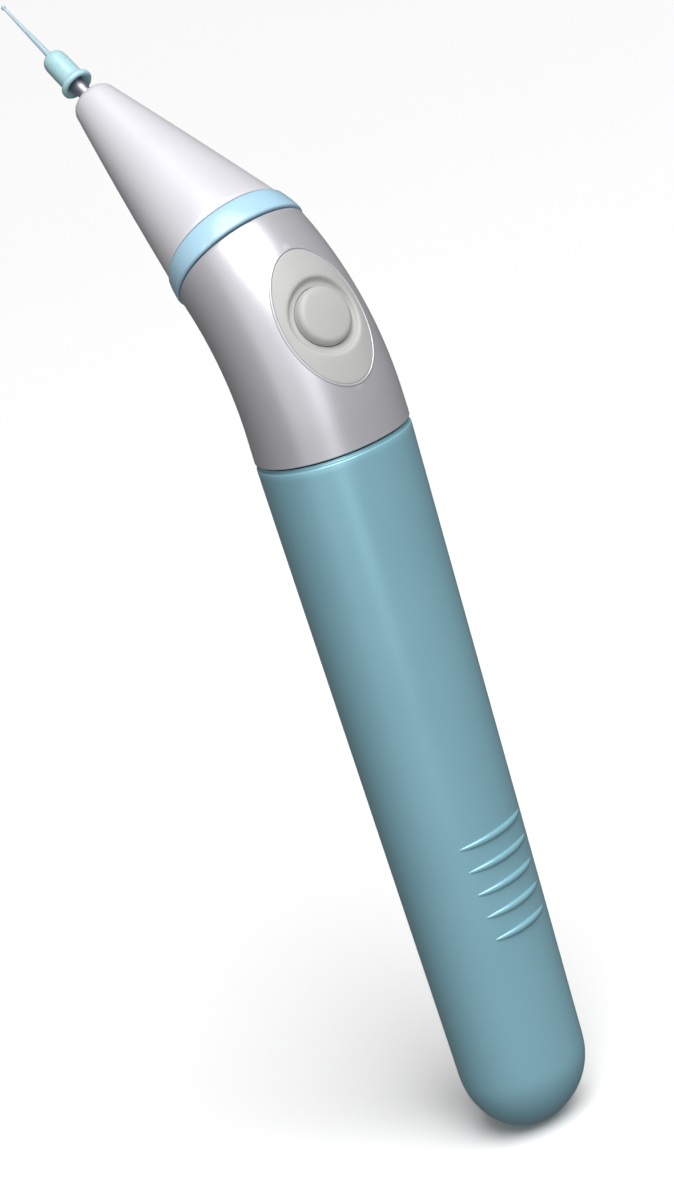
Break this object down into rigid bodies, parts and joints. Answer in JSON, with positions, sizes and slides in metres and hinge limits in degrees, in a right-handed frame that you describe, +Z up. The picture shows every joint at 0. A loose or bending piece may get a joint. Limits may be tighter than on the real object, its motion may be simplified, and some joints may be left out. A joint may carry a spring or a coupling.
{
  "type": "power flosser",
  "caption": "Battery power flosser with a tapered grip sleeve, a bent head, a thumb button, an accent ring and a long nose that drives a push-on flexible pick tip.",
  "frame": {"origin": "on the straight handle's axis, in the seam between the grip sleeve and the head housing", "axes": "+Z up along the handle's axis, +Y towards the side that the head leans to, -Y the thumb side with the button, X across the width"},
  "size_m": [0.0262, 0.0651, 0.1984],
  "materials": {
    "housing_grey": "satin pale grey moulded shell",
    "sleeve_teal": "satin blue-green moulded sleeve",
    "accent_blue": "glossy pale blue ring",
    "soft_pad": "soft warm grey thumb pad",
    "seal_rubber": "dark sealing rubber",
    "tip_plastic": "pale aqua moulded hub",
    "nylon": "translucent nylon pick",
    "stem_steel": "ground steel",
    "motor_steel": "plated motor can",
    "magnet_grey": "sintered magnet",
    "bronze": "sintered bronze",
    "copper": "enamelled copper wire",
    "brass": "nickel-brass strip",
    "contact_steel": "plated spring steel",
    "frame_plastic": "dark moulded frame",
    "black_nylon": "black nylon",
    "white_acetal": "white acetal",
    "board_green": "coated circuit board",
    "cell_wrap_grey": "plain printed cell wrap",
    "wire_red": "red wire insulation",
    "wire_black": "black wire insulation"
  },
  "bodies": {
    "root": {"mid_housing": "housing_grey", "nose_cone": "housing_grey", "accent_ring": "accent_blue", "nose_seal": "seal_rubber", "button_pad": "soft_pad", "power_switch": "black_nylon", "circuit_board": "board_green", "board_components": "black_nylon", "board_carrier": "frame_plastic", "motor_can": "motor_steel", "motor_end_bell": "black_nylon", "motor_terminals": "brass", "motor_magnets": "magnet_grey", "motor_bushes": "bronze", "brushes": "brass", "motor_mount": "seal_rubber", "pivot_bearing": "white_acetal", "chassis": "frame_plastic", "cell_can": "contact_steel", "cell_wrap": "cell_wrap_grey", "cell_insulator": "white_acetal", "positive_contact": "contact_steel", "negative_contact": "contact_steel", "positive_strip": "brass", "negative_strip": "brass", "cell_spring": "contact_steel", "seam_seal": "seal_rubber", "chassis_screws": "contact_steel", "positive_wire": "wire_red", "negative_wire": "wire_black", "battery_leads": "wire_black"},
    "sleeve": {"handle_sleeve": "sleeve_teal"},
    "button": {"button_cap": "soft_pad", "switch_plunger": "white_acetal"},
    "rotor": {"rotor_core": "motor_steel", "rotor_windings": "copper", "commutator": "copper", "rotor_shaft": "stem_steel", "eccentric_driver": "white_acetal"},
    "stem": {"drive_stem": "stem_steel", "pivot_ball": "white_acetal"},
    "tip": {"tip_hub": "tip_plastic", "tip_needle": "nylon"}
  },
  "joints": [
    {"name": "rotor_spin", "type": "hinge", "parent": "root", "child": "rotor", "pos_m": [0, 0.01213, 0.03399], "axis": [0, 0.6934, 0.7206], "continuous": true},
    {"name": "stem_orbit", "type": "hinge", "parent": "rotor", "child": "stem", "pos_m": [0, 0.03158, 0.0542], "axis": [0, 0.7077, 0.7065], "continuous": true},
    {"name": "tip_pull", "type": "slide", "parent": "stem", "child": "tip", "axis": [0, 0.7077, 0.7065], "range_m": [0, 0.012]},
    {"name": "button_press", "type": "slide", "parent": "root", "child": "button", "axis": [0, 0.9527, -0.3039], "range_m": [0, 0.0008], "stiffness_N_per_m": 1500},
    {"name": "sleeve_pull", "type": "slide", "parent": "root", "child": "sleeve", "axis": [0, 0, -1], "range_m": [0, 0.1]}
  ],
  "couplings": [
    {"joint": "stem_orbit", "follows": "rotor_spin", "ratio": -1}
  ]
}
